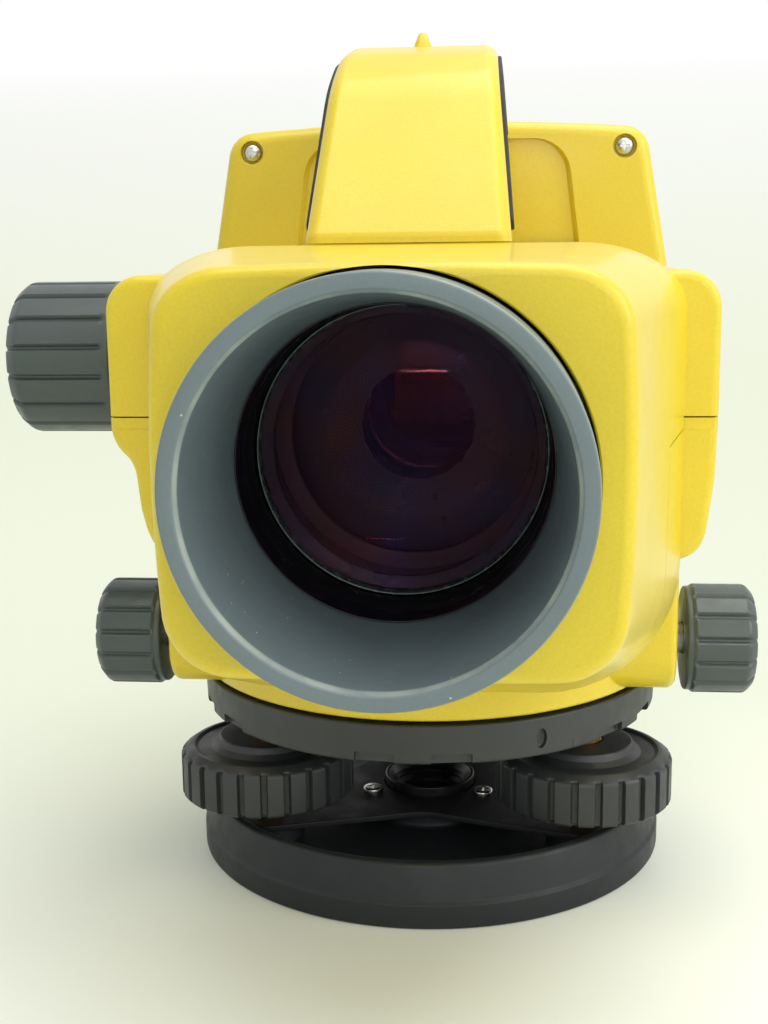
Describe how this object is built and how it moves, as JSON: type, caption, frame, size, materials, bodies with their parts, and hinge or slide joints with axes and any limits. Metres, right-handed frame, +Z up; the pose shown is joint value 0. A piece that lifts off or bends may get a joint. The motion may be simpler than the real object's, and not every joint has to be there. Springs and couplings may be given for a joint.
{
  "type": "digital level",
  "caption": "Surveying level with a hooded telescope, carry handle, focusing and fine-motion knobs, a keypad with a display, and a levelling base on foot screws.",
  "frame": {"origin": "under the middle of the overall box, on the plane that the base stands on", "axes": "+Y from the objective to the eyepiece, +Z up along the turning axis, +X to the side of the battery door"},
  "size_m": [0.158, 0.257, 0.1826],
  "materials": {
    "yellow_paint": "satin fine-textured paint",
    "charcoal_plastic": "satin moulded",
    "base_paint": "semi-gloss black",
    "knob_rubber": "matt",
    "slate_grey": "satin grey",
    "black_anodised": "anodised black",
    "bare_steel": "turned",
    "brass": "turned",
    "coated_glass": "coated, violet",
    "clear_glass": "polished",
    "circuit_board": "lacquered board",
    "key_grey": "matt",
    "soft_black": "matt",
    "battery_case": "moulded",
    "mirror_silver": "polished"
  },
  "bodies": {
    "base": {"base_plate": "base_paint", "tripod_bush": "brass", "spring_plate": "base_paint"},
    "foot_screw_left": {"foot_stud_left": "brass", "foot_knob_left": "charcoal_plastic"},
    "foot_screw_right": {"foot_stud_right": "brass", "foot_knob_right": "charcoal_plastic"},
    "foot_screw_rear": {"foot_stud_rear": "brass", "foot_knob_rear": "charcoal_plastic"},
    "levelling_stage": {"levelling_head": "black_anodised", "spindle": "bare_steel", "spindle_nut": "bare_steel"},
    "circle_ring": {"circle_ring": "charcoal_plastic"},
    "friction_wheel": {"worm_wheel": "brass"},
    "alidade": {"lower_housing": "yellow_paint", "upper_housing": "yellow_paint", "bearing_sleeve": "brass", "carry_handle": "yellow_paint", "handle_inlay_left": "soft_black", "handle_inlay_right": "soft_black", "display_housing": "yellow_paint", "rear_panel": "charcoal_plastic", "display_window": "clear_glass", "display_module": "circuit_board", "display_screw_left": "bare_steel", "display_screw_right": "bare_steel", "hood": "slate_grey", "objective_cell": "black_anodised", "retaining_ring": "black_anodised", "objective_lens": "coated_glass", "telescope_tube": "black_anodised", "compensator_frame": "black_anodised", "beam_splitter": "clear_glass", "sensor_board": "circuit_board", "eyepiece_tube": "black_anodised", "main_board": "circuit_board", "battery": "battery_case", "level_vial": "clear_glass", "level_mirror": "mirror_silver", "data_socket": "black_anodised", "focus_bush": "brass"},
    "fine_shaft": {"worm_shaft": "bare_steel", "fine_knob_left": "knob_rubber", "fine_knob_right": "knob_rubber"},
    "focus_spindle": {"focus_knob": "knob_rubber", "focus_shaft": "bare_steel"},
    "focus_carriage": {"focus_carriage": "black_anodised", "focusing_lens": "clear_glass"},
    "dioptre_ring": {"eyepiece_ring": "charcoal_plastic", "eye_cup": "soft_black"},
    "eyepiece_cell": {"eyepiece_cell": "black_anodised"},
    "pendulum": {"pendulum": "brass"},
    "battery_door": {"battery_door": "yellow_paint"},
    "measure_key": {"measure_key": "key_grey"},
    "power_key": {"power_key": "key_grey"},
    "menu_key": {"menu_key": "key_grey"},
    "escape_key": {"escape_key": "key_grey"},
    "up_key": {"up_key": "key_grey"},
    "down_key": {"down_key": "key_grey"},
    "enter_key": {"enter_key": "key_grey"}
  },
  "joints": [
    {"name": "foot_screw_left_turn", "type": "hinge", "parent": "base", "child": "foot_screw_left", "pos_m": [-0.02751, -0.0311, 0.022], "axis": [0, 0, 1], "range_deg": [-1560, 1560]},
    {"name": "foot_screw_right_turn", "type": "hinge", "parent": "base", "child": "foot_screw_right", "pos_m": [0.04351, -0.0311, 0.022], "axis": [0, 0, 1], "range_deg": [-1560, 1560]},
    {"name": "foot_screw_rear_turn", "type": "hinge", "parent": "base", "child": "foot_screw_rear", "pos_m": [0.008, 0.0304, 0.022], "axis": [0, 0, 1], "range_deg": [-1560, 1560]},
    {"name": "head_tilt", "type": "hinge", "parent": "base", "child": "levelling_stage", "pos_m": [0.008, -0.0311, 0.038], "axis": [1, 0, 0], "range_deg": [-3, 3]},
    {"name": "circle_ring_turn", "type": "hinge", "parent": "levelling_stage", "child": "circle_ring", "pos_m": [0.008, -0.0106, 0.04], "axis": [0, 0, 1], "continuous": true},
    {"name": "coarse_turn", "type": "hinge", "parent": "levelling_stage", "child": "friction_wheel", "pos_m": [0.008, -0.0106, 0.054], "axis": [0, 0, 1], "continuous": true},
    {"name": "fine_turn", "type": "hinge", "parent": "friction_wheel", "child": "alidade", "pos_m": [0.008, -0.0106, 0.06], "axis": [0, 0, 1], "continuous": true},
    {"name": "fine_shaft_turn", "type": "hinge", "parent": "alidade", "child": "fine_shaft", "pos_m": [0.008, -0.0325, 0.054], "axis": [1, 0, 0], "continuous": true},
    {"name": "focus_turn", "type": "hinge", "parent": "alidade", "child": "focus_spindle", "pos_m": [-0.062, -0.0297, 0.1149], "axis": [1, 0, 0], "range_deg": [-144, 144]},
    {"name": "focus_travel", "type": "slide", "parent": "alidade", "child": "focus_carriage", "axis": [0, 1, 0], "range_m": [-0.00805, 0.00805]},
    {"name": "dioptre_turn", "type": "hinge", "parent": "alidade", "child": "dioptre_ring", "pos_m": [0.008, 0.1074, 0.1014], "axis": [0, 1, 0], "range_deg": [-150, 150]},
    {"name": "dioptre_travel", "type": "slide", "parent": "alidade", "child": "eyepiece_cell", "axis": [0, 1, 0], "range_m": [-0.00126, 0.00126]},
    {"name": "pendulum_swing", "type": "hinge", "parent": "alidade", "child": "pendulum", "pos_m": [0.008, 0.0144, 0.112], "axis": [1, 0, 0], "range_deg": [-0.5, 0.5]},
    {"name": "battery_door_swing", "type": "hinge", "parent": "alidade", "child": "battery_door", "pos_m": [0.064, 0.0194, 0.0809], "axis": [0, 1, 0], "range_deg": [0, 100]},
    {"name": "measure_key_press", "type": "slide", "parent": "alidade", "child": "measure_key", "axis": [1, 0, 0], "range_m": [0, 0.001], "stiffness_N_per_m": 600},
    {"name": "power_key_press", "type": "slide", "parent": "alidade", "child": "power_key", "axis": [0, -1, 0], "range_m": [0, 0.0008], "stiffness_N_per_m": 600},
    {"name": "menu_key_press", "type": "slide", "parent": "alidade", "child": "menu_key", "axis": [0, -1, 0], "range_m": [0, 0.0008], "stiffness_N_per_m": 600},
    {"name": "escape_key_press", "type": "slide", "parent": "alidade", "child": "escape_key", "axis": [0, -1, 0], "range_m": [0, 0.0008], "stiffness_N_per_m": 600},
    {"name": "up_key_press", "type": "slide", "parent": "alidade", "child": "up_key", "axis": [0, -1, 0], "range_m": [0, 0.0008], "stiffness_N_per_m": 600},
    {"name": "down_key_press", "type": "slide", "parent": "alidade", "child": "down_key", "axis": [0, -1, 0], "range_m": [0, 0.0008], "stiffness_N_per_m": 600},
    {"name": "enter_key_press", "type": "slide", "parent": "alidade", "child": "enter_key", "axis": [0, -1, 0], "range_m": [0, 0.0008], "stiffness_N_per_m": 600}
  ],
  "couplings": [
    {"joint": "foot_screw_rear_turn", "follows": "head_tilt", "ratio": -515.22},
    {"joint": "fine_shaft_turn", "follows": "fine_turn", "ratio": 48},
    {"joint": "focus_travel", "follows": "focus_turn", "m_per_rad": 0.0032},
    {"joint": "dioptre_travel", "follows": "dioptre_turn", "m_per_rad": 0.0004775}
  ]
}
